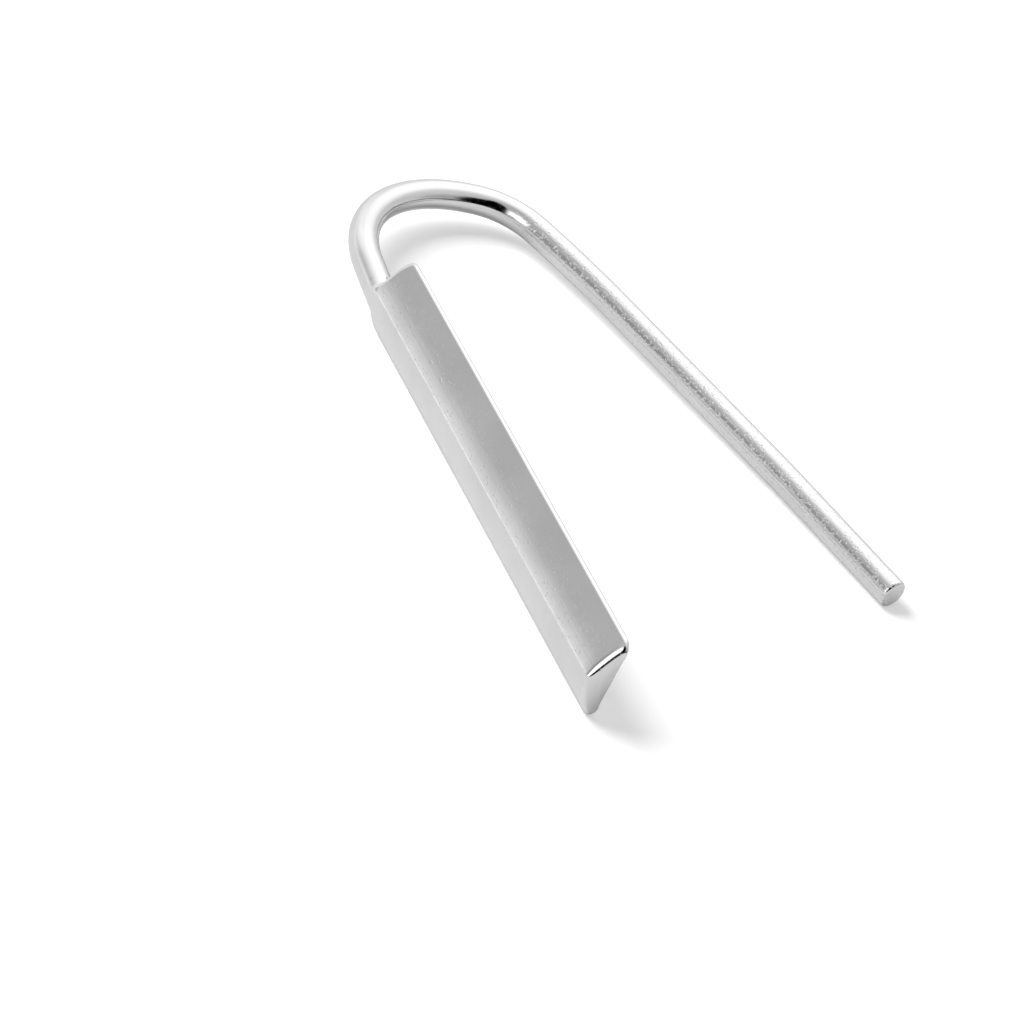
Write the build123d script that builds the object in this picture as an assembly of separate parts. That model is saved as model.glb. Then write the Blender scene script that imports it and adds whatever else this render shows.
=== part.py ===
from build123d import *
import math
import os

# A bar earring in polished silver. A slim bar of three-sided section hangs in front of the
# ear lobe. One ear wire, soldered to the top of the bar, bends over and runs down behind the
# lobe. The two are one piece of metal. Lengths are in millimetres and angles in degrees.

# Bar: a flat back, and two facets that meet in a rounded ridge along the front.
bar_length = 18.5
bar_width = 2.9
bar_depth = 1.0
bar_edge_radius = 0.12
bar_ridge_radius = 0.38
bar_end_rounding = 0.1

# Ear wire: round, with its centre line in a plane across the bar. It is soldered a little off
# the middle of the bar's width, so that it stays just under the upper facet.
wire_diameter = 1.0
wire_from_back = 0.54
wire_off_middle = 0.18
wire_end_rounding = 0.08

# Solder: a taper that takes the wire's root down into the ridge and the lower facet.
solder_reach = 0.8
solder_tip_radius = 0.2

# The wire's way from the bar's top end to its free end. It leans back a little as it leaves
# the bar, and every bend after that turns it the same way.
lead_lean = 6.7
lead_length = 1.74
front_arch_radius = 5.2
front_arch_turn = 94.3
back_arch_radius = 2.3
back_arch_turn = 54.3
bow_radius = 37.0
bow_turn = 6.6
post_length = 8.4
tip_bend_radius = 15.0
tip_bend_turn = 2.1
tip_length = 5.45

wire_radius = wire_diameter / 2


def bar_section():
    """The bar's section in the YZ plane: back face at y = 0, and the ridge towards -Y."""
    edge_height = bar_width / 2 - bar_edge_radius
    upper_edge = Pos(-bar_edge_radius, edge_height) * Circle(bar_edge_radius)
    lower_edge = Pos(-bar_edge_radius, -edge_height) * Circle(bar_edge_radius)
    ridge = Pos(bar_ridge_radius - bar_depth, 0) * Circle(bar_ridge_radius)
    rounds = upper_edge.edges() + lower_edge.edges() + ridge.edges()
    return Plane.YZ * make_hull(rounds)


def make_bar():
    """The bar, from its top end at x = 0 to its lower end, with the rims of both ends eased."""
    bar = extrude(bar_section(), bar_length)
    along = bar.edges().group_by(Axis.X)
    return fillet(along[0] + along[-1], bar_end_rounding)


def wire_path():
    """The wire's centre line: straight runs and arcs, each tangent to the one before it."""
    leaving = Vector(-1, 0, 0).rotate(Axis.Z, -lead_lean)
    joint = Vector(0, -wire_from_back, -wire_off_middle)
    runs = [Line(joint, joint + leaving * lead_length)]
    for radius, turn, straight in (
        (front_arch_radius, front_arch_turn, 0),
        (back_arch_radius, back_arch_turn, 0),
        (bow_radius, bow_turn, post_length),
        (tip_bend_radius, tip_bend_turn, tip_length),
    ):
        runs.append(JernArc(runs[-1] @ 1, runs[-1] % 1, radius, -turn))
        if straight:
            bend_end = runs[-1] @ 1
            runs.append(Line(bend_end, bend_end + (runs[-1] % 1) * straight))
    return Wire([edge for run in runs for edge in run.edges()])


def make_wire(path):
    """The ear wire. Its free end is flat with an eased rim, and its root tapers in solder."""
    round_section = Plane(origin=path @ 0, z_dir=path % 0) * Circle(wire_radius)
    wire = sweep(round_section, path=path)
    expected_volume = math.pi * wire_radius**2 * path.length
    print("wire length", round(path.length, 2))
    print("wire volume", round(wire.volume, 3), "section times length", round(expected_volume, 3))
    free_rim = wire.faces().sort_by_distance(path @ 1)[0].edges()
    standing = (Align.CENTER, Align.CENTER, Align.MIN)
    taper = Cone(wire_radius, solder_tip_radius, solder_reach, align=standing)
    solder = Plane(origin=path @ 0, z_dir=-(path % 0)) * taper
    return fillet(free_rim, wire_end_rounding) + solder


def resting_tilt(path):
    """The turn about X that lays the bar's lower back edge and the wire's free end flat.

    Both are round in section, so the surface touches them along the line that is tangent to
    the two circles from below.
    """
    free_end = path @ 1
    across = free_end.Y + bar_edge_radius
    above = bar_width / 2 - bar_edge_radius - wire_off_middle
    slope = math.atan2(above, across)
    lift = math.asin((wire_radius - bar_edge_radius) / math.hypot(across, above))
    return math.degrees(slope - lift)


def make_earring():
    """The whole earring as it lies by itself, its lowest points on the plane z = 0."""
    path = wire_path()
    tilt = resting_tilt(path)
    lying = (make_bar() + make_wire(path)).rotate(Axis.X, -tilt)
    print("resting tilt", round(tilt, 3))
    box = lying.bounding_box()
    return Pos(-box.center().X, -box.center().Y, -box.min.Z) * lying


earring = make_earring()
earring.label = "bar_earring"
print("volume", round(earring.volume, 3), "size", earring.bounding_box().size)
os.makedirs("parts", exist_ok=True)
export_step(earring, "parts/bar_earring.step")
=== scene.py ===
import logging
import math
from collections.abc import Sequence
from dataclasses import dataclass, field
from enum import Enum

import bmesh
import bpy
import numpy as np
from mathutils import Matrix, Vector
from mathutils.bvhtree import BVHTree


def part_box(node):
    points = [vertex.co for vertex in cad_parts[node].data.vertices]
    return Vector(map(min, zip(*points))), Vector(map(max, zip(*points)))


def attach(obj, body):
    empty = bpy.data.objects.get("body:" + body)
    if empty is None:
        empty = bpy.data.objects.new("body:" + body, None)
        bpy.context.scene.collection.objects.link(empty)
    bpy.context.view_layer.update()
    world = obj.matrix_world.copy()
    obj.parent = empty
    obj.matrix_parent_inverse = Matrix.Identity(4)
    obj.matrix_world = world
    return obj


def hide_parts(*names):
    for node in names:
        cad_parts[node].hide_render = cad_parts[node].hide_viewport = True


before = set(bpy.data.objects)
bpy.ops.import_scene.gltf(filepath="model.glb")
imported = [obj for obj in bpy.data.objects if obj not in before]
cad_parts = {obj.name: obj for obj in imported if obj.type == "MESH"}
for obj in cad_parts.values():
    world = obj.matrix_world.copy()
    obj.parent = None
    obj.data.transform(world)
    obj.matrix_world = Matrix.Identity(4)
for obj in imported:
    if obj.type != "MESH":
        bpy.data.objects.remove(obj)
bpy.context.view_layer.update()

# A bar earring in polished silver, on a pale floor in soft studio light. Lengths are in metres
# and angles in degrees, and every shape is made as it is worn: X runs down the bar, Y from the
# bar's flat back towards the wire, and Z across the bar. Then the earring is laid down.

MM = 0.001
NODE = "bar_earring"
WEAR_AND_GLINT = "wear_and_glint"

log = logging.getLogger("bar_earring")


class Coordinates(Enum):
    """Where a grain pattern takes its places from."""

    OBJECT = "Object"
    SURFACE = "UV"


class Tree:
    """A small helper that adds nodes to a node tree and links them."""

    def __init__(self, tree: bpy.types.NodeTree) -> None:
        """Keeps the tree to add to."""
        self.tree = tree

    def add(self, kind: str, **settings: object) -> bpy.types.Node:
        """Adds a node.

        Args:
            kind: the node's type name.
            settings: properties to set on it.

        Returns:
            The new node.
        """
        node = self.tree.nodes.new(kind)
        for name, value in settings.items():
            setattr(node, name, value)
        return node

    def link(self, source: bpy.types.NodeSocket, target: bpy.types.NodeSocket) -> None:
        """Joins an output to an input."""
        self.tree.links.new(source, target)

    def feed(self, value: object, target: bpy.types.NodeSocket) -> None:
        """Sets an input to a value, or links it if the value is another node's output."""
        if isinstance(value, bpy.types.NodeSocket):
            self.link(value, target)
        else:
            target.default_value = value

    def math(self, operation: str, *values: object, clamp: bool = False) -> bpy.types.NodeSocket:
        """Adds a math node.

        Args:
            operation: the node's operation.
            values: numbers or outputs, in the order of the inputs.
            clamp: keeps the result between 0 and 1.

        Returns:
            The result's output.
        """
        node = self.add("ShaderNodeMath", operation=operation, use_clamp=clamp)
        for value, target in zip(values, node.inputs):
            self.feed(value, target)
        return node.outputs[0]

    def vector(self, operation: str, *values: object) -> bpy.types.Node:
        """Adds a vector math node and feeds its inputs, and returns the node."""
        node = self.add("ShaderNodeVectorMath", operation=operation)
        for value, target in zip(values, node.inputs):
            self.feed(value, target)
        return node

    def ramp(self, value: object, low: float, high: float, start: float = 0.0,
             end: float = 1.0) -> bpy.types.NodeSocket:
        """A smooth step.

        Args:
            value: what is measured.
            low: where the step starts.
            high: where the step ends.
            start: the result below low.
            end: the result above high.

        Returns:
            The result's output.
        """
        node = self.add("ShaderNodeMapRange", interpolation_type="SMOOTHSTEP")
        for item, target in zip((value, low, high, start, end), node.inputs):
            self.feed(item, target)
        return node.outputs[0]

    def noise(self, place: bpy.types.NodeSocket, scale: float,
              detail: float) -> bpy.types.NodeSocket:
        """Adds a noise and returns its value."""
        node = self.add("ShaderNodeTexNoise")
        node.inputs["Scale"].default_value = scale
        node.inputs["Detail"].default_value = detail
        self.link(place, node.inputs["Vector"])
        return node.outputs["Fac"]

    def part(self, place: bpy.types.NodeSocket, axis: str) -> bpy.types.NodeSocket:
        """Takes one coordinate, "X", "Y" or "Z", out of a place or a direction."""
        node = self.add("ShaderNodeSeparateXYZ")
        self.link(place, node.inputs[0])
        return node.outputs[axis]

    def quarter_circle(self, distance: object, reach: object) -> bpy.types.NodeSocket:
        """A quarter circle's height, from 0 to 1, as a distance goes from 0 to its reach."""
        share = self.math("DIVIDE", distance, reach, clamp=True)
        left = self.math("SUBTRACT", 1.0, share)
        return self.math("SQRT", self.math("SUBTRACT", 1.0, self.math("POWER", left, 2.0)))

    def blend(self, share: object, first: object, second: object) -> bpy.types.NodeSocket:
        """Goes from one value to another as the share goes from 0 to 1."""
        node = self.add("ShaderNodeMix", data_type="FLOAT")
        for item, target in zip((share, first, second),
                                (node.inputs[0], node.inputs[2], node.inputs[3])):
            self.feed(item, target)
        return node.outputs[0]

    def grey(self, value: bpy.types.NodeSocket) -> bpy.types.NodeSocket:
        """Turns a value into a grey colour."""
        node = self.add("ShaderNodeCombineXYZ")
        for target in node.inputs:
            self.link(value, target)
        return node.outputs[0]


def new_material(name: str) -> tuple[bpy.types.Material, Tree, bpy.types.Node]:
    """Makes a material, and returns it with its tree and its shader."""
    material = bpy.data.materials.new(name)
    material.use_nodes = True
    return material, Tree(material.node_tree), material.node_tree.nodes["Principled BSDF"]


def heading_vector(heading: float) -> Vector:
    """The direction of length 1 at an angle in the XY plane, in radians."""
    return Vector((math.cos(heading), math.sin(heading), 0))


def direction(azimuth: float, elevation: float) -> Vector:
    """The direction of length 1 at an azimuth and an elevation, in degrees."""
    around, above = math.radians(azimuth), math.radians(elevation)
    return Vector((math.cos(above) * math.cos(around), math.cos(above) * math.sin(around),
                   math.sin(above)))


@dataclass(frozen=True)
class SilverFinish:
    """Polished silver with the fine grain that drawing, filing and rubbing leave.

    The grain is a set of faint lines along the piece, tiny pits between them, and a slow wave
    of the surface. Pits can start at a distance along the piece. Where the piece carries its wear
    and glint attribute, its edges are smoother from rubbing and lighter in colour: partly wear,
    partly a painted glint.
    """

    name: str
    coordinates: Coordinates
    colour: float = 0.88
    colour_spread: float = 0.03
    roughness: float = 0.12
    roughness_spread: float = 0.04
    line_length: float = 9.0 * MM
    line_width: float = 0.09 * MM
    line_height: float = 3.0e-6
    line_detail: float = 3.0
    pit_size: float = 0.11 * MM
    pit_depth: float = 9.0e-6
    pit_threshold: float = 0.54
    pit_edge: float = 0.14
    pit_detail: float = 2.0
    pit_shade: float = 0.07
    pitted_from: float = -1.0
    pits_fade: float = 2.0 * MM
    wave_length: float = 2.5 * MM
    wave_height: float = 8.0e-6
    wave_detail: float = 1.0
    shade_detail: float = 4.0
    colour_steps: tuple[float, float] = (0.3, 0.7)
    roughness_steps: tuple[float, float] = (0.35, 0.7)
    roughness_spots_per_pit: float = 0.4
    glint_and_wear_colour: float = 0.98
    worn_roughness: float = 0.07
    bead_length: float = 0.35 * MM
    bead_detail: float = 2.0
    bead_steps: tuple[float, float] = (0.4, 0.62)

    def make(self) -> bpy.types.Material:
        """Builds the material's nodes and returns the material."""
        material, tree, shader = new_material(self.name)
        shader.inputs["Metallic"].default_value = 1.0
        place = tree.add("ShaderNodeTexCoord").outputs[self.coordinates.value]
        clouds = tree.noise(place, 1.0 / self.wave_length, self.shade_detail)
        spots = tree.noise(place, self.roughness_spots_per_pit / self.pit_size, self.shade_detail)
        glint_and_wear = self.glint_and_wear(tree, place)
        colour = tree.ramp(clouds, *self.colour_steps, self.colour - self.colour_spread,
                           self.colour + self.colour_spread)
        # Painted glint: the base colour goes lighter along the worn edges, partly real wear and
        # partly a painted glint on the ridge and rims.
        colour = tree.blend(glint_and_wear, colour, self.glint_and_wear_colour)
        colour = tree.math("MULTIPLY_ADD", self.pits(tree, place), -self.pit_shade, colour)
        tree.link(tree.grey(colour), shader.inputs["Base Color"])
        roughness = tree.ramp(spots, *self.roughness_steps,
                              self.roughness - self.roughness_spread,
                              self.roughness + self.roughness_spread)
        tree.link(tree.blend(glint_and_wear, roughness, self.worn_roughness), shader.inputs["Roughness"])
        bump = tree.add("ShaderNodeBump")
        bump.inputs["Strength"].default_value = 1.0
        bump.inputs["Distance"].default_value = 1.0
        tree.link(self.relief(tree, place), bump.inputs["Height"])
        tree.link(bump.outputs["Normal"], shader.inputs["Normal"])
        return material

    def glint_and_wear(self, tree: Tree, place: bpy.types.NodeSocket) -> bpy.types.NodeSocket:
        """Wear and painted glint on the edges, from 0 to 1, in a broken line of beads."""
        wear_and_glint = tree.add("ShaderNodeAttribute", attribute_name=WEAR_AND_GLINT).outputs["Fac"]
        beads = tree.noise(place, 1.0 / self.bead_length, self.bead_detail)
        return tree.math("MULTIPLY", wear_and_glint, tree.ramp(beads, *self.bead_steps))

    def pits(self, tree: Tree, place: bpy.types.NodeSocket) -> bpy.types.NodeSocket:
        """Where the surface is pitted, from 0 to 1."""
        spots = tree.noise(place, 1.0 / self.pit_size, self.pit_detail)
        deep = tree.ramp(spots, self.pit_threshold, self.pit_threshold + self.pit_edge)
        reached = tree.ramp(tree.part(place, "X"), self.pitted_from - self.pits_fade,
                            self.pitted_from)
        return tree.math("MULTIPLY", deep, reached)

    def relief(self, tree: Tree, place: bpy.types.NodeSocket) -> bpy.types.NodeSocket:
        """The surface's height in metres, from its lines, pits and waves."""
        mapping = tree.add("ShaderNodeMapping")
        across = 1.0 / self.line_width
        mapping.inputs["Scale"].default_value = (1.0 / self.line_length, across, across)
        tree.link(place, mapping.inputs["Vector"])
        lines = tree.noise(mapping.outputs["Vector"], 1.0, self.line_detail)
        pits = self.pits(tree, place)
        waves = tree.noise(place, 1.0 / self.wave_length, self.wave_detail)
        height = tree.math("MULTIPLY", lines, self.line_height)
        height = tree.math("MULTIPLY_ADD", pits, -self.pit_depth, height)
        return tree.math("MULTIPLY_ADD", waves, self.wave_height, height)


@dataclass(frozen=True)
class FloorFinish:
    """A matt pale floor lit from below as well, so that its shadows are light.

    The metal shows it with painted shade: darker than the eye sees it, and nearly black in front
    of the bar's lower end.
    """

    colour: float = 0.74
    mirrored_colour: float = 0.50
    glow: float = 0.36
    mirrored_glow: float = 0.11
    lit_to: float = 19.0 * MM
    dark_from: float = 25.0 * MM
    dark_share: float = 0.05

    def make(self) -> bpy.types.Material:
        """Builds the material's nodes and returns the material."""
        material, tree, shader = new_material("pale_floor")
        shader.inputs["Roughness"].default_value = 1.0
        shader.inputs["Specular IOR Level"].default_value = 0.0
        mirrored = tree.add("ShaderNodeLightPath").outputs["Is Glossy Ray"]
        place = tree.add("ShaderNodeTexCoord").outputs["Object"]
        # Painted shade: for reflected rays the floor is darker, and fades to near black beyond
        # dark_from, in front of the bar's lower end.
        mirrored_unshaded = tree.ramp(tree.part(place, "X"), self.lit_to, self.dark_from, 1.0, self.dark_share)
        colour = tree.math("MULTIPLY", mirrored_unshaded, self.mirrored_colour)
        glow = tree.math("MULTIPLY", mirrored_unshaded, self.mirrored_glow)
        tree.link(tree.blend(mirrored, self.colour, colour), shader.inputs["Base Color"])
        shader.inputs["Emission Color"].default_value = (1.0, 1.0, 1.0, 1.0)
        tree.link(tree.blend(mirrored, self.glow, glow), shader.inputs["Emission Strength"])
        return material


def closed_mesh(name: str, points: list[Sequence[float]],
                faces: list[tuple[int, ...]]) -> bpy.types.Mesh:
    """Makes a smooth closed mesh whose faces point outwards.

    Args:
        name: the mesh's name.
        points: its vertices.
        faces: its faces, in any winding.

    Returns:
        The mesh.
    """
    mesh = bpy.data.meshes.new(name)
    mesh.from_pydata(points, [], faces)
    shape = bmesh.new()
    shape.from_mesh(mesh)
    bmesh.ops.recalc_face_normals(shape, faces=shape.faces)
    shape.to_mesh(mesh)
    shape.free()
    mesh.shade_smooth()
    return mesh


@dataclass(frozen=True)
class Corner:
    """One rounded corner of the bar's section, in (Y, Z)."""

    centre: tuple[float, float]
    radius: float
    end_rounding: float
    glint_and_wear_at: float
    glint_and_wear_width: float

    def point(self, angle: float) -> np.ndarray:
        """The point of the rounding that faces an angle, in radians."""
        return np.array(self.centre) + self.radius * np.array((math.cos(angle), math.sin(angle)))

    def tangent_to(self, after: "Corner") -> float:
        """The angle that the flat between this corner and the next one faces, in radians."""
        run = after.centre[0] - self.centre[0]
        rise = after.centre[1] - self.centre[1]
        swing = math.asin((self.radius - after.radius) / math.hypot(run, rise))
        return (math.atan2(rise, run) - math.pi / 2 + swing) % (2 * math.pi)


@dataclass
class Bar:
    """The slim bar of three-sided section, flat at the back and ridged along the front.

    Its faces are slightly crowned, the lower facet the most, and each runs into its corners
    without a crease. At both ends the faces roll over towards a crisper rim round the end face.
    The corners and rims are lighter in colour, partly rubbed bright and partly a painted glint.
    A corner's wear and glint says where round its rounding that is strongest, and how far it
    reaches.
    """

    length: float = 18.5 * MM
    width: float = 2.9 * MM
    depth: float = 1.0 * MM
    upper_edge_radius: float = 0.13 * MM
    lower_edge_radius: float = 0.17 * MM
    ridge_radius: float = 0.38 * MM
    upper_end_rounding: float = 0.42 * MM
    ridge_end_rounding: float = 0.14 * MM
    lower_end_rounding: float = 0.28 * MM
    facet_rims: tuple[float, float, float] = (0.23 * MM, 0.15 * MM, 0.14 * MM)
    rim_depth_share: float = 0.95
    crowns: tuple[float, float, float] = (4.8, 14.0, 1.0)
    end_dome: float = 0.02 * MM
    # Where the edges, ridge and rims are lightened: partly wear, partly a painted glint; the
    # ridge's band sits where the glint line runs.
    edge_glint_and_wear: tuple[float, float] = (0.5, 0.5)
    ridge_glint_and_wear: tuple[float, float] = (0.14, 0.12)
    rim_glint_and_wear: float = 0.6
    arc_steps: int = 24
    face_steps: int = 20
    ring_spacing: float = 0.2 * MM
    rim_steps: int = 10
    end_steps: int = 8

    def corners(self) -> tuple[Corner, Corner, Corner]:
        """The section's corners: upper edge, ridge and lower edge."""
        half = self.width / 2
        upper, lower = self.upper_edge_radius, self.lower_edge_radius
        return (
            Corner((-upper, half - upper), upper, self.upper_end_rounding, *self.edge_glint_and_wear),
            Corner((self.ridge_radius - self.depth, 0.0), self.ridge_radius,
                   self.ridge_end_rounding, *self.ridge_glint_and_wear),
            Corner((-lower, lower - half), lower, self.lower_end_rounding, *self.edge_glint_and_wear),
        )

    def section(self) -> dict[str, np.ndarray]:
        """The outline round the section, with what its ends need.

        Returns:
            Under "points" the outline in (Y, Z), under "shifts" how far each point moves
            inwards at the ends, under "rims" how long its end rounding is, and under the last key
            how much it is rubbed and lightened by a painted glint.
        """
        corners = self.corners()
        middle = np.mean([corner.centre for corner in corners], axis=0)
        facing, inward = [], []
        for corner, after in zip(corners, corners[1:] + corners[:1]):
            facing.append(corner.tangent_to(after))
            away = np.array(corner.centre) - middle
            inward.append(-away / np.hypot(*away) * corner.end_rounding)
        lean = np.radians(self.crowns)
        starts = [lean[2], facing[0] + lean[0], facing[1] + lean[1]]
        ends = [facing[0] - lean[0], facing[1] - lean[1], 2 * math.pi - lean[2]]
        points, shifts, rims, wear_and_glint = [], [], [], []
        for index, corner in enumerate(corners):
            following = (index + 1) % len(corners)
            after = corners[following]
            for share in np.linspace(0, 1, self.arc_steps):
                points.append(corner.point(starts[index] + (ends[index] - starts[index]) * share))
                shifts.append(inward[index])
                rims.append(corner.end_rounding)
                wear_and_glint.append(max(0.0, 1 - abs(share - corner.glint_and_wear_at) / corner.glint_and_wear_width))
            first, last = points[-1], after.point(starts[following])
            run = last - first
            normal = np.array((run[1], -run[0])) / np.hypot(*run)
            crown = np.hypot(*run) * math.tan(lean[index]) / 4
            rim = self.facet_rims[index]
            for share in np.linspace(0, 1, self.face_steps + 1)[1:-1]:
                bulge = 4 * share * (1 - share)
                points.append(first + run * share + normal * bulge * crown)
                between = inward[index] * (1 - share) + inward[following] * share
                shifts.append(between * (1 - bulge) - normal * rim * bulge)
                rounding = corner.end_rounding * (1 - share) + after.end_rounding * share
                rims.append(rounding * (1 - bulge) + rim * bulge)
                wear_and_glint.append(0.0)
        return {"points": np.array(points), "shifts": np.array(shifts) * self.rim_depth_share,
                "rims": np.array(rims), "wear_and_glint": np.array(wear_and_glint)}

    def rings(self) -> tuple[list[np.ndarray], list[np.ndarray]]:
        """The rings of points from the top end to the lower end, end faces included.

        Returns:
            The rings, and the wear and painted glint at their points.
        """
        section = self.section()
        points, rims = section["points"], section["rims"]
        end = []
        for angle in np.linspace(math.pi / 2, 0, self.rim_steps + 1):
            moved = points + section["shifts"] * (1 - math.cos(angle))
            # The rims are lightened too, partly as wear and partly as a painted glint.
            rubbed_and_glinting = np.maximum(section["wear_and_glint"], self.rim_glint_and_wear * math.sin(2 * angle))
            end.append((rims * (1 - math.sin(angle)), moved, rubbed_and_glinting))
        face = end[0][1]
        middle = face.mean(axis=0)
        bare = np.zeros(len(points))
        caps = []
        for step in range(1, self.end_steps):
            share = step / self.end_steps
            caps.append((np.full(len(points), -self.end_dome * (1 - share**2)),
                         middle + (face - middle) * share, bare))
        stations = caps + end
        count = round(self.length / self.ring_spacing)
        reach = float(rims.max())
        between = [(np.full(len(points), x), points, section["wear_and_glint"])
                   for x in np.linspace(reach, self.length - reach, count)[1:-1]]
        stations += between
        stations += [(self.length - x, ring, wear_and_glint) for x, ring, wear_and_glint in reversed(caps + end)]
        return ([np.column_stack((x, ring)) for x, ring, _ in stations],
                [wear_and_glint for _, _, wear_and_glint in stations])

    def build(self) -> bpy.types.Mesh:
        """Builds the closed mesh of the bar, with its wear and painted glint stored on it."""
        rings, wear_and_glint = self.rings()
        middle = rings[0].mean(axis=0)
        around = len(rings[0])
        points = np.concatenate(rings).tolist()
        faces = []
        for row in range(len(rings) - 1):
            for index in range(around):
                after = (index + 1) % around
                faces.append((row * around + index, row * around + after,
                              (row + 1) * around + after, (row + 1) * around + index))
        for row, x in ((0, -self.end_dome), (len(rings) - 1, self.length + self.end_dome)):
            points.append((x, middle[1], middle[2]))
            for index in range(around):
                faces.append((row * around + index, row * around + (index + 1) % around,
                              len(points) - 1))
        mesh = closed_mesh("bar", points, faces)
        rubbed_and_glinting = mesh.attributes.new(WEAR_AND_GLINT, "FLOAT", "POINT")
        rubbed_and_glinting.data.foreach_set("value", np.concatenate(wear_and_glint + [np.zeros(2)]).tolist())
        return mesh


@dataclass(frozen=True)
class Bend:
    """One bend of the wire and the straight run after it."""

    radius: float
    turn: float
    straight: float = 0.0


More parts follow.
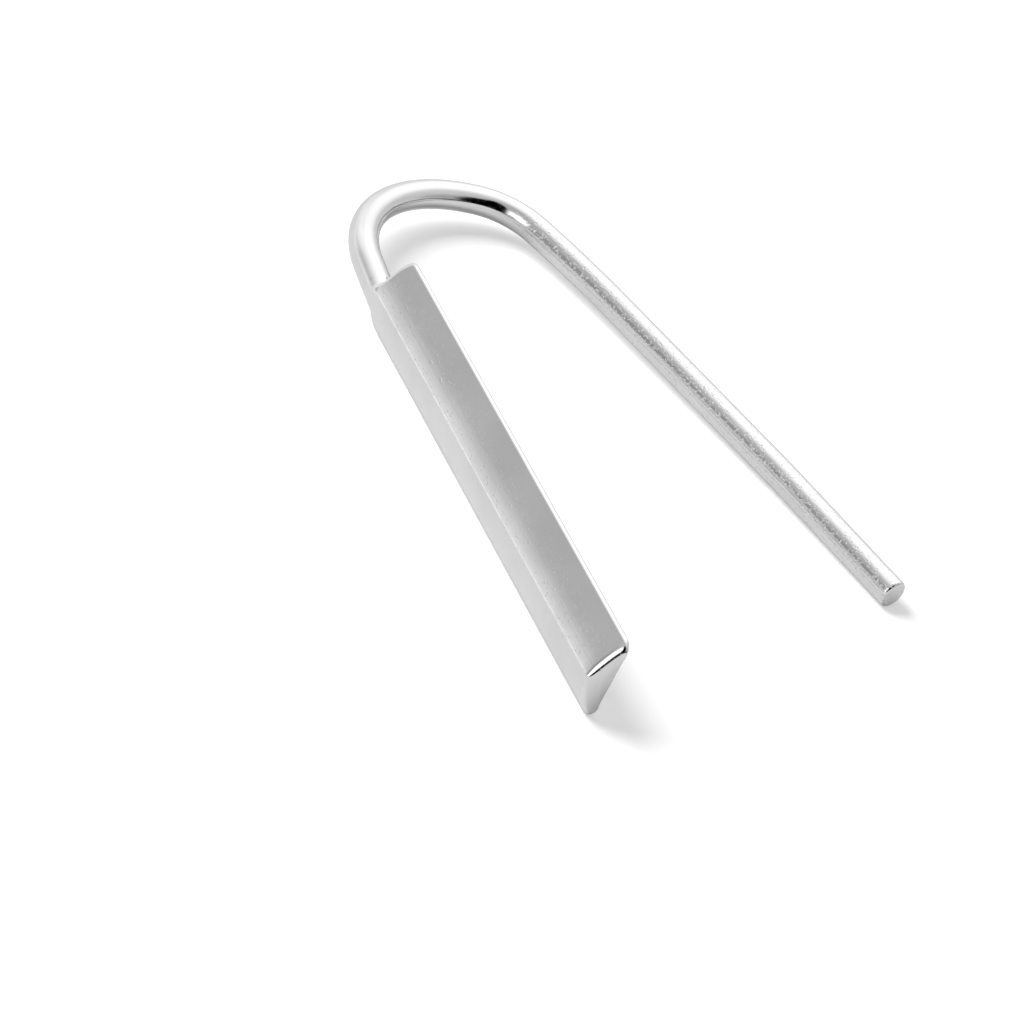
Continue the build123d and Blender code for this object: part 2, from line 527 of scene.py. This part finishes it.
@dataclass
class EarWire:
    """The round ear wire: lead, arch, post and tip, soldered into the bar's top end."""

    diameter: float = 1.0 * MM
    from_back: float = 0.54 * MM
    off_middle: float = 0.18 * MM
    end_rounding: float = 0.11 * MM
    root_reach: float = 0.05 * MM
    root_rounding: float = 0.5 * MM
    lead_lean: float = 6.7
    lead_length: float = 1.74 * MM
    front_arch: Bend = Bend(5.2 * MM, 94.3)
    back_arch: Bend = Bend(2.3 * MM, 54.3)
    bow: Bend = Bend(37.0 * MM, 6.6, 8.4 * MM)
    tip: Bend = Bend(15.0 * MM, 2.1, 5.45 * MM)
    step: float = 0.06 * MM
    end_steps: int = 10
    facets_around: int = 96
    fewest_cap_sides: float = 5.0

    def stations(self) -> list[float]:
        """Distances along the wire at which it is drawn, closer together at both ends."""
        length = self.route_length()
        angles = np.linspace(0, math.pi / 2, self.end_steps + 1)[:-1]
        root = self.root_rounding * (1 - np.cos(angles))
        free = length - self.end_rounding * (1 - np.cos(angles))
        first, last = self.root_rounding, length - self.end_rounding
        middle = np.linspace(first, last, round((last - first) / self.step) + 1)
        return np.concatenate((root, middle, free[::-1])).tolist()

    def bends(self) -> tuple[Bend, ...]:
        """The bends in the order in which the wire takes them."""
        return (self.front_arch, self.back_arch, self.bow, self.tip)

    def route_length(self) -> float:
        """The length of the wire's centre line."""
        length = self.root_reach + self.lead_length
        for bend in self.bends():
            length += bend.radius * math.radians(bend.turn) + bend.straight
        return length

    def joint(self) -> Vector:
        """Where the centre line crosses the bar's top end."""
        return Vector((0, -self.from_back, -self.off_middle))

    def first_heading(self) -> float:
        """The angle in the XY plane at which the wire leaves the bar, in radians."""
        return math.pi - math.radians(self.lead_lean)

    def leaving(self) -> Vector:
        """The direction in which the wire leaves the bar."""
        return heading_vector(self.first_heading())

    def point_at(self, distance: float) -> tuple[Vector, float]:
        """The place on the centre line at a distance from its root, and the heading there.

        Args:
            distance: how far along the wire, in metres.

        Returns:
            The point, and the direction's angle in the XY plane in radians.
        """
        heading = self.first_heading()
        run = self.root_reach + self.lead_length
        here = self.joint() - self.root_reach * self.leaving()
        travel = min(distance, run)
        here += travel * heading_vector(heading)
        left = distance - travel
        for bend in self.bends():
            arc = bend.radius * math.radians(bend.turn)
            turned = min(left, arc) / bend.radius
            side = Vector((math.sin(heading), -math.cos(heading), 0))
            centre = here + bend.radius * side
            here = centre + Matrix.Rotation(-turned, 3, "Z") @ (here - centre)
            heading -= turned
            left -= min(left, arc)
            travel = min(left, bend.straight)
            here += travel * heading_vector(heading)
            left -= travel
        return here, heading

    def centre_line(self) -> bpy.types.Object:
        """An object that holds the centre line as a chain of edges."""
        points = [self.point_at(distance)[0] for distance in self.stations()]
        mesh = bpy.data.meshes.new("ear_wire_line")
        mesh.from_pydata(points, [(i, i + 1) for i in range(len(points) - 1)], [])
        line = bpy.data.objects.new("ear_wire_line", mesh)
        bpy.context.scene.collection.objects.link(line)
        return line

    def tree(self, material: bpy.types.Material,
             end_material: bpy.types.Material) -> bpy.types.NodeTree:
        """Builds the Geometry Nodes tree that draws the wire along its centre line.

        Args:
            material: the wire's finish.
            end_material: the finish of its cut end.

        Returns:
            The tree, with the wire's sizes as named inputs.
        """
        group = bpy.data.node_groups.new("drawn_wire", "GeometryNodeTree")
        group.interface.new_socket("Geometry", in_out="INPUT", socket_type="NodeSocketGeometry")
        for name, value in self.sizes().items():
            kind = "NodeSocketInt" if isinstance(value, int) else "NodeSocketFloat"
            group.interface.new_socket(name, in_out="INPUT", socket_type=kind)
        group.interface.new_socket("Geometry", in_out="OUTPUT", socket_type="NodeSocketGeometry")
        tree = Tree(group)
        given = tree.add("NodeGroupInput").outputs
        curve = tree.add("GeometryNodeMeshToCurve")
        tree.link(given["Geometry"], curve.inputs["Mesh"])
        along = tree.add("GeometryNodeSplineParameter").outputs["Length"]
        kept = tree.add("GeometryNodeCaptureAttribute", domain="POINT")
        kept.capture_items.new("FLOAT", "along")
        tree.link(curve.outputs[0], kept.inputs["Geometry"])
        tree.link(along, kept.inputs[1])
        ring = tree.add("GeometryNodeCurvePrimitiveCircle", mode="RADIUS")
        tree.link(given["facets around"], ring.inputs["Resolution"])
        tree.link(given["radius"], ring.inputs["Radius"])
        turn = tree.add("GeometryNodeSplineParameter").outputs["Factor"]
        marked = tree.add("GeometryNodeCaptureAttribute", domain="POINT")
        marked.capture_items.new("FLOAT", "turn")
        tree.link(ring.outputs["Curve"], marked.inputs["Geometry"])
        tree.link(turn, marked.inputs[1])
        sweep = tree.add("GeometryNodeCurveToMesh")
        tree.link(kept.outputs["Geometry"], sweep.inputs["Curve"])
        tree.link(marked.outputs["Geometry"], sweep.inputs["Profile Curve"])
        sweep.inputs["Fill Caps"].default_value = True
        tree.link(self.thickness(tree, given, along), sweep.inputs["Scale"])
        place = tree.add("ShaderNodeCombineXYZ")
        tree.link(kept.outputs[1], place.inputs["X"])
        girth = tree.math("MULTIPLY", given["radius"], 2 * math.pi)
        tree.link(tree.math("MULTIPLY", marked.outputs[1], girth), place.inputs["Y"])
        stored = tree.add("GeometryNodeStoreNamedAttribute", data_type="FLOAT2", domain="CORNER")
        stored.inputs["Name"].default_value = "UVMap"
        tree.link(sweep.outputs["Mesh"], stored.inputs["Geometry"])
        tree.link(place.outputs["Vector"], stored.inputs["Value"])
        sides = tree.add("GeometryNodeInputMeshFaceNeighbors").outputs["Vertex Count"]
        smooth = tree.add("GeometryNodeSetShadeSmooth")
        tree.link(stored.outputs["Geometry"], smooth.inputs["Geometry"])
        is_side = tree.math("LESS_THAN", sides, self.fewest_cap_sides)
        tree.link(is_side, smooth.inputs["Shade Smooth"])
        plain = tree.add("GeometryNodeRealizeInstances")
        tree.link(smooth.outputs["Geometry"], plain.inputs["Geometry"])
        dressed = tree.add("GeometryNodeSetMaterial")
        dressed.inputs["Material"].default_value = material
        tree.link(plain.outputs["Geometry"], dressed.inputs["Geometry"])
        cut = tree.add("GeometryNodeSetMaterial")
        cut.inputs["Material"].default_value = end_material
        tree.link(dressed.outputs["Geometry"], cut.inputs["Geometry"])
        is_cap = tree.math("GREATER_THAN", sides, self.fewest_cap_sides)
        tree.link(is_cap, cut.inputs["Selection"])
        out = tree.add("NodeGroupOutput")
        tree.link(cut.outputs["Geometry"], out.inputs["Geometry"])
        return group

    def sizes(self) -> dict[str, float | int]:
        """The named inputs of the wire's tree, with their values."""
        return {
            "radius": self.diameter / 2,
            "length": self.route_length(),
            "end rounding": self.end_rounding,
            "root rounding": self.root_rounding,
            "facets around": self.facets_around,
        }

    def thickness(self, tree: Tree, given: bpy.types.NodeOutputs,
                  along: bpy.types.NodeSocket) -> bpy.types.NodeSocket:
        """How thick the wire is along its length, as a share of its full thickness.

        Args:
            tree: the tree to add to.
            given: the tree's named inputs.
            along: the distance from the root.

        Returns:
            The share: 1, but rounded off at the root and eased at the free end's rim.
        """
        root = tree.quarter_circle(along, given["root rounding"])
        to_end = tree.math("SUBTRACT", given["length"], along)
        arc = tree.quarter_circle(to_end, given["end rounding"])
        rim = tree.math("DIVIDE", given["end rounding"], given["radius"])
        free = tree.math("MULTIPLY_ADD", tree.math("SUBTRACT", arc, 1.0), rim, 1.0)
        return tree.math("MULTIPLY", root, free)

    def build(self, material: bpy.types.Material,
              end_material: bpy.types.Material) -> bpy.types.Mesh:
        """Builds the wire's closed mesh from its tree and leaves no modifier behind."""
        line = self.centre_line()
        modifier = line.modifiers.new("drawn wire", "NODES")
        modifier.node_group = self.tree(material, end_material)
        sizes = self.sizes()
        for item in modifier.node_group.interface.items_tree:
            if item.in_out == "INPUT" and item.name in sizes:
                modifier[item.identifier] = sizes[item.name]
        settled = line.evaluated_get(bpy.context.evaluated_depsgraph_get())
        mesh = bpy.data.meshes.new_from_object(settled)
        line.modifiers.remove(modifier)
        bpy.data.objects.remove(line)
        return mesh


@dataclass
class Solder:
    """The solder that carries the wire's surface down into the bar in one smooth skin.

    Its skin follows the rounded sum of two shapes: the bar, and the wire with a root that
    tapers away inside the ridge. It starts and ends a hair below their surfaces: it is sunk
    over a share of its length at either end, and wherever only one of the shapes counts.
    """

    bar: Bar
    wire: EarWire
    taper: float = 0.85 * MM
    tip_radius: float = 0.15 * MM
    blend: float = 0.14 * MM
    above: float = 0.55 * MM
    run_to_end_face: float = 0.75 * MM
    run_to_ridge: float = 1.55 * MM
    sink: float = 0.004 * MM
    start_share: float = 0.08
    end_from: float = 0.85
    end_share: float = 0.15
    overlap_fade: float = 3.0
    settling_steps: int = 4
    least_lean: float = 0.2
    least_lean_squared: float = 0.05
    touching: float = 1e-8
    columns: int = 96
    rows: int = 56

    def wire_gap(self, point: Vector) -> tuple[float, Vector]:
        """The distance from the tapered wire's surface and the direction in which it grows."""
        down = -self.wire.leaving()
        offset = point - self.wire.joint()
        depth = offset.dot(down)
        aside = offset - depth * down
        full = self.wire.diameter / 2
        share = min(max(depth / self.taper, 0.0), 1.0)
        radius = full - (full - self.tip_radius) * share * share * (3 - 2 * share)
        slope = (full - self.tip_radius) * 6 * share * (1 - share) / self.taper
        return aside.length - radius, (aside.normalized() + slope * down).normalized()

    def bar_gap(self, surface: BVHTree, point: Vector) -> tuple[float, Vector]:
        """The distance from the bar's surface and the direction in which it grows."""
        nearest, normal, _, distance = surface.find_nearest(point)
        away = point - nearest
        outside = away.dot(normal) >= 0
        if distance < self.touching:
            return 0.0, normal
        return (distance, away / distance) if outside else (-distance, -away / distance)

    def gap(self, surface: BVHTree, point: Vector) -> tuple[float, Vector]:
        """The distance from the skin and the direction in which it grows.

        Where only one of the two shapes counts, the skin lies a hair below that shape.
        """
        first, second = self.wire_gap(point), self.bar_gap(surface, point)
        near, far = sorted((first, second), key=lambda item: item[0])
        overlap = max(self.blend - (far[0] - near[0]), 0.0) / self.blend
        distance = near[0] - overlap * overlap * self.blend / 4
        distance += self.sink * max(1 - self.overlap_fade * overlap, 0.0)
        return distance, near[1] * (1 - overlap / 2) + far[1] * (overlap / 2)

    def column(self, surface: BVHTree, angle: float) -> list[Vector]:
        """A line down the skin, in the half-plane at an angle round the wire.

        Args:
            surface: the bar's surface.
            angle: 0 towards the bar's back, and pi towards its ridge.

        Returns:
            The line's points, evenly spaced.
        """
        down = -self.wire.leaving()
        across = Vector((0, 0, 1))
        outward = across.cross(down) * math.cos(angle) + across * math.sin(angle)
        run = self.run_to_end_face
        run += (self.run_to_ridge - self.run_to_end_face) * (1 - math.cos(angle)) / 2
        point = self.wire.joint() - down * self.above + outward * self.wire.diameter / 2
        points = []
        for row in range(self.rows + 1):
            share = row / self.rows
            level = -self.sink * max(1 - share / self.start_share,
                                     (share - self.end_from) / self.end_share, 0.0)
            for _ in range(self.settling_steps):
                distance, growth = self.gap(surface, point)
                lean = Vector((growth.dot(down), growth.dot(outward)))
                step = (distance - level) / max(lean.length_squared, self.least_lean_squared)
                point = point - (down * lean.x + outward * lean.y) * step
            points.append(point)
            along = (down * lean.y - outward * lean.x) / max(lean.length, self.least_lean)
            point = point + along * (run / self.rows)
        return points

    def build(self, bar_mesh: bpy.types.Mesh) -> bpy.types.Mesh:
        """Builds the solder's closed mesh over the bar's."""
        shape = bmesh.new()
        shape.from_mesh(bar_mesh)
        surface = BVHTree.FromBMesh(shape)
        shape.free()
        points, faces = [], []
        for column in range(self.columns):
            points += self.column(surface, 2 * math.pi * column / self.columns)
        height = self.rows + 1
        for column in range(self.columns):
            here, after = column * height, (column + 1) % self.columns * height
            faces += [(here + row, after + row, after + row + 1, here + row + 1)
                      for row in range(self.rows)]
        leaving = self.wire.leaving()
        for row, centre in ((0, self.above * leaving), (self.rows, -leaving * self.taper / 3)):
            points.append(self.wire.joint() + centre)
            for column in range(self.columns):
                faces.append((column * height + row,
                              (column + 1) % self.columns * height + row, len(points) - 1))
        return closed_mesh("solder", points, faces)


@dataclass
class Earring:
    """The whole earring, as it lies by itself on the floor."""

    bar: Bar = field(default_factory=Bar)
    wire: EarWire = field(default_factory=EarWire)
    bar_finish: SilverFinish = SilverFinish("silver_bar", Coordinates.OBJECT, line_height=0.8e-6,
                                            pit_depth=2.0e-6, pit_threshold=0.6, pit_shade=0.05)
    wire_finish: SilverFinish = SilverFinish("silver_wire", Coordinates.SURFACE,
                                             pitted_from=13.0 * MM)
    # The cut end is rougher, as a brushed cut, and its lighter colour is painted light that lifts
    # the end disc out of the floor shadow it mirrors.
    end_finish: SilverFinish = SilverFinish("silver_cut_end", Coordinates.OBJECT, colour=0.95,
                                           roughness=0.5, line_width=0.05 * MM,
                                           pit_depth=1.0e-6, pit_shade=0.06)

    def resting_tilt(self) -> float:
        """The turn that lays the bar's lower back edge and the wire's free end on the floor."""
        free_end = self.wire.point_at(self.wire.route_length())[0]
        edge = self.bar.lower_edge_radius
        across = free_end.y + edge
        above = self.bar.width / 2 - edge - self.wire.off_middle
        lift = (self.wire.diameter / 2 - edge) / math.hypot(across, above)
        return math.atan2(above, across) - math.asin(lift)

    def lay(self, meshes: list[bpy.types.Mesh]) -> None:
        """Turns the meshes to the resting pose and sets them where the frame has the earring."""
        turn = Matrix.Rotation(-self.resting_tilt(), 4, "X")
        for mesh in meshes:
            mesh.transform(turn)
        corners = np.array([vertex.co for mesh in meshes for vertex in mesh.vertices])
        low, high = corners.min(axis=0), corners.max(axis=0)
        frame_low, frame_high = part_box(NODE)
        middle = (frame_low + frame_high) / 2
        shift = Vector((middle.x - (low[0] + high[0]) / 2, middle.y - (low[1] + high[1]) / 2,
                        frame_low.z - low[2]))
        for mesh in meshes:
            mesh.transform(Matrix.Translation(shift))

    def build(self) -> list[bpy.types.Object]:
        """Builds the pieces, lays them down and puts them in the CAD part's place."""
        bar_mesh = self.bar.build()
        bar_mesh.materials.append(self.bar_finish.make())
        wire_mesh = self.wire.build(self.wire_finish.make(), self.end_finish.make())
        solder_mesh = Solder(self.bar, self.wire).build(bar_mesh)
        solder_mesh.materials.append(bar_mesh.materials[0])
        self.lay([bar_mesh, wire_mesh, solder_mesh])
        pieces = []
        for name, mesh in (("bar", bar_mesh), ("ear_wire", wire_mesh), ("solder", solder_mesh)):
            piece = bpy.data.objects.new(name, mesh)
            bpy.context.scene.collection.objects.link(piece)
            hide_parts(NODE)
            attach(piece, "root")
            log.info("%s: %d faces", name, len(mesh.polygons))
            pieces.append(piece)
        return pieces


@dataclass
class Viewpoint:
    """The camera, by the point it looks at and where it stands round that point."""

    target: Vector = field(default_factory=lambda: Vector((4.602, -6.375, 1.202)) * MM)
    distance: float = 162.98 * MM
    azimuth: float = -36.805
    elevation: float = 32.943
    roll: float = 25.073
    lens: float = 187.32
    sensor: float = 36.0
    nearest: float = 1.0 * MM
    farthest: float = 10.0

    def axes(self) -> tuple[Vector, Vector, Vector]:
        """The camera's own right, up and backward directions."""
        back = direction(self.azimuth, self.elevation)
        level = Vector((0, 0, 1)).cross(back).normalized()
        turn = Matrix.Rotation(math.radians(self.roll), 3, back)
        right = turn @ level
        return right, back.cross(right), back

    def build(self) -> None:
        """Makes the camera and has the scene use it."""
        right, up, back = self.axes()
        lens = bpy.data.cameras.new("camera")
        lens.lens = self.lens
        lens.sensor_width = self.sensor
        lens.clip_start = self.nearest
        lens.clip_end = self.farthest
        camera = bpy.data.objects.new("camera", lens)
        turned = Matrix((right, up, back)).transposed().to_4x4()
        camera.matrix_world = Matrix.Translation(self.target + back * self.distance) @ turned
        bpy.context.scene.collection.objects.link(camera)
        bpy.context.scene.camera = camera


@dataclass(frozen=True)
class Glow:
    """A soft patch of light or shade far away, as a direction from the earring and a size.

    The direction is as the camera sees it: to the right, up, and back towards the camera. Its
    angles say within how many degrees of that it is full, and beyond how many it is gone. A
    negative brightness takes that share of the light away.
    """

    direction: tuple[float, float, float]
    full_within: float
    gone_beyond: float
    brightness: float


@dataclass(frozen=True)
class KeyLight:
    """A broad lamp that lights the floor from one side and isn't mirrored in the metal."""

    azimuth: float = -130.0
    elevation: float = 42.0
    distance: float = 0.5
    size: float = 0.36
    power: float = 3.3

    def build(self) -> None:
        """Adds the lamp, aimed at the earring."""
        away = direction(self.azimuth, self.elevation)
        lamp = bpy.data.lights.new("key", "AREA")
        lamp.shape = "DISK"
        lamp.size = self.size
        lamp.energy = self.power
        key = bpy.data.objects.new("key", lamp)
        turn = away.to_track_quat("Z", "Y").to_matrix().to_4x4()
        key.matrix_world = Matrix.Translation(away * self.distance) @ turn
        key.visible_glossy = False
        bpy.context.scene.collection.objects.link(key)


@dataclass
class Studio:
    """Soft light from all round, with bright cards, and with dark and dim ones in front of it.

    All of that is for the mirroring metal. Matt surfaces get the even light of the dome.
    """

    view: Viewpoint
    floor_size: float = 1.2
    dome: float = 0.38
    surroundings: float = 0.465
    softbox: Glow = Glow((0.30, 0.93, -0.10), 12.0, 58.0, 0.6)
    softbox_lamp: Glow = Glow((0.30, 0.93, -0.10), 10.0, 22.0, 0.35)
    right_fill: Glow = Glow((0.75, 0.65, 0.05), 5.0, 60.0, 0.2)
    left_fill: Glow = Glow((-0.50, 0.65, -0.58), 8.0, 34.0, 0.22)
    front_card: Glow = Glow((-0.42, -0.18, 0.89), 22.0, 38.0, 1.0)
    side_edge: Glow = Glow((-0.88, 0.46, -0.08), 3.0, 15.5, 0.32)
    dark_front: Glow = Glow((0.47, -0.43, 0.77), 28.0, 40.0, -1.0)
    dark_below: Glow = Glow((0.10, -0.80, 0.60), 20.0, 28.0, -1.0)
    dark_corner: Glow = Glow((0.50, -0.12, 0.86), 19.0, 26.0, -1.0)
    dim_right: Glow = Glow((0.90, -0.45, 0.10), 5.0, 30.0, -0.25)
    dim_left: Glow = Glow((-0.84, 0.28, 0.46), 8.0, 30.0, -0.35)
    low_light: float = 0.15
    low_light_top: float = 14.0

    def build(self) -> None:
        """Builds the floor and the light."""
        self.floor()
        self.light()
        KeyLight().build()
        settings = bpy.context.scene.view_settings
        settings.view_transform = "Standard"
        settings.look = "None"

    def floor(self) -> None:
        """A wide plain floor, just under the earring."""
        half = self.floor_size / 2
        corners = [(-half, -half, 0), (half, -half, 0), (half, half, 0), (-half, half, 0)]
        mesh = bpy.data.meshes.new("floor")
        mesh.from_pydata(corners, [], [(0, 1, 2, 3)])
        mesh.materials.append(FloorFinish().make())
        floor = bpy.data.objects.new("floor", mesh)
        bpy.context.scene.collection.objects.link(floor)

    def light(self) -> None:
        """The world's light: surroundings and bright cards, less the shade of the dark cards."""
        world = bpy.data.worlds.new("studio")
        bpy.context.scene.world = world
        world.use_nodes = True
        tree = Tree(world.node_tree)
        outward = tree.add("ShaderNodeTexCoord").outputs["Generated"]
        top = math.sin(math.radians(self.low_light_top))
        total = tree.ramp(tree.part(outward, "Z"), 0.0, top,
                          self.surroundings + self.low_light, self.surroundings)
        for glow in (self.softbox, self.softbox_lamp, self.right_fill, self.left_fill,
                     self.front_card, self.side_edge):
            patch = self.patch(tree, outward, glow)
            total = tree.math("MULTIPLY_ADD", patch, glow.brightness, total)
        for shade in (self.dark_front, self.dark_below, self.dark_corner, self.dim_right,
                      self.dim_left):
            patch = self.patch(tree, outward, shade)
            kept = tree.math("MULTIPLY_ADD", patch, shade.brightness, 1.0)
            total = tree.math("MULTIPLY", total, kept)
        diffuse = tree.add("ShaderNodeLightPath").outputs["Is Diffuse Ray"]
        total = tree.blend(diffuse, total, self.dome)
        background = world.node_tree.nodes["Background"]
        tree.link(tree.grey(total), background.inputs["Color"])

    def seen(self, direction: tuple[float, float, float]) -> Vector:
        """Turns a direction as the camera sees it into one in the frame, of length 1."""
        right, up, back = self.view.axes()
        return (right * direction[0] + up * direction[1] + back * direction[2]).normalized()

    def patch(self, tree: Tree, outward: bpy.types.NodeSocket,
              glow: Glow) -> bpy.types.NodeSocket:
        """A round soft patch's strength, from 0 to 1."""
        nearness = tree.vector("DOT_PRODUCT", outward, self.seen(glow.direction)).outputs["Value"]
        return tree.ramp(nearness, math.cos(math.radians(glow.gone_beyond)),
                         math.cos(math.radians(glow.full_within)))


def main() -> None:
    """Builds the camera, the studio and the earring, in that order."""
    logging.basicConfig(level=logging.INFO, format="%(message)s")
    view = Viewpoint()
    view.build()
    Studio(view).build()
    pieces = Earring().build()
    log.info("pieces: %s", ", ".join(piece.name for piece in pieces))


if __name__ == "__main__":
    main()
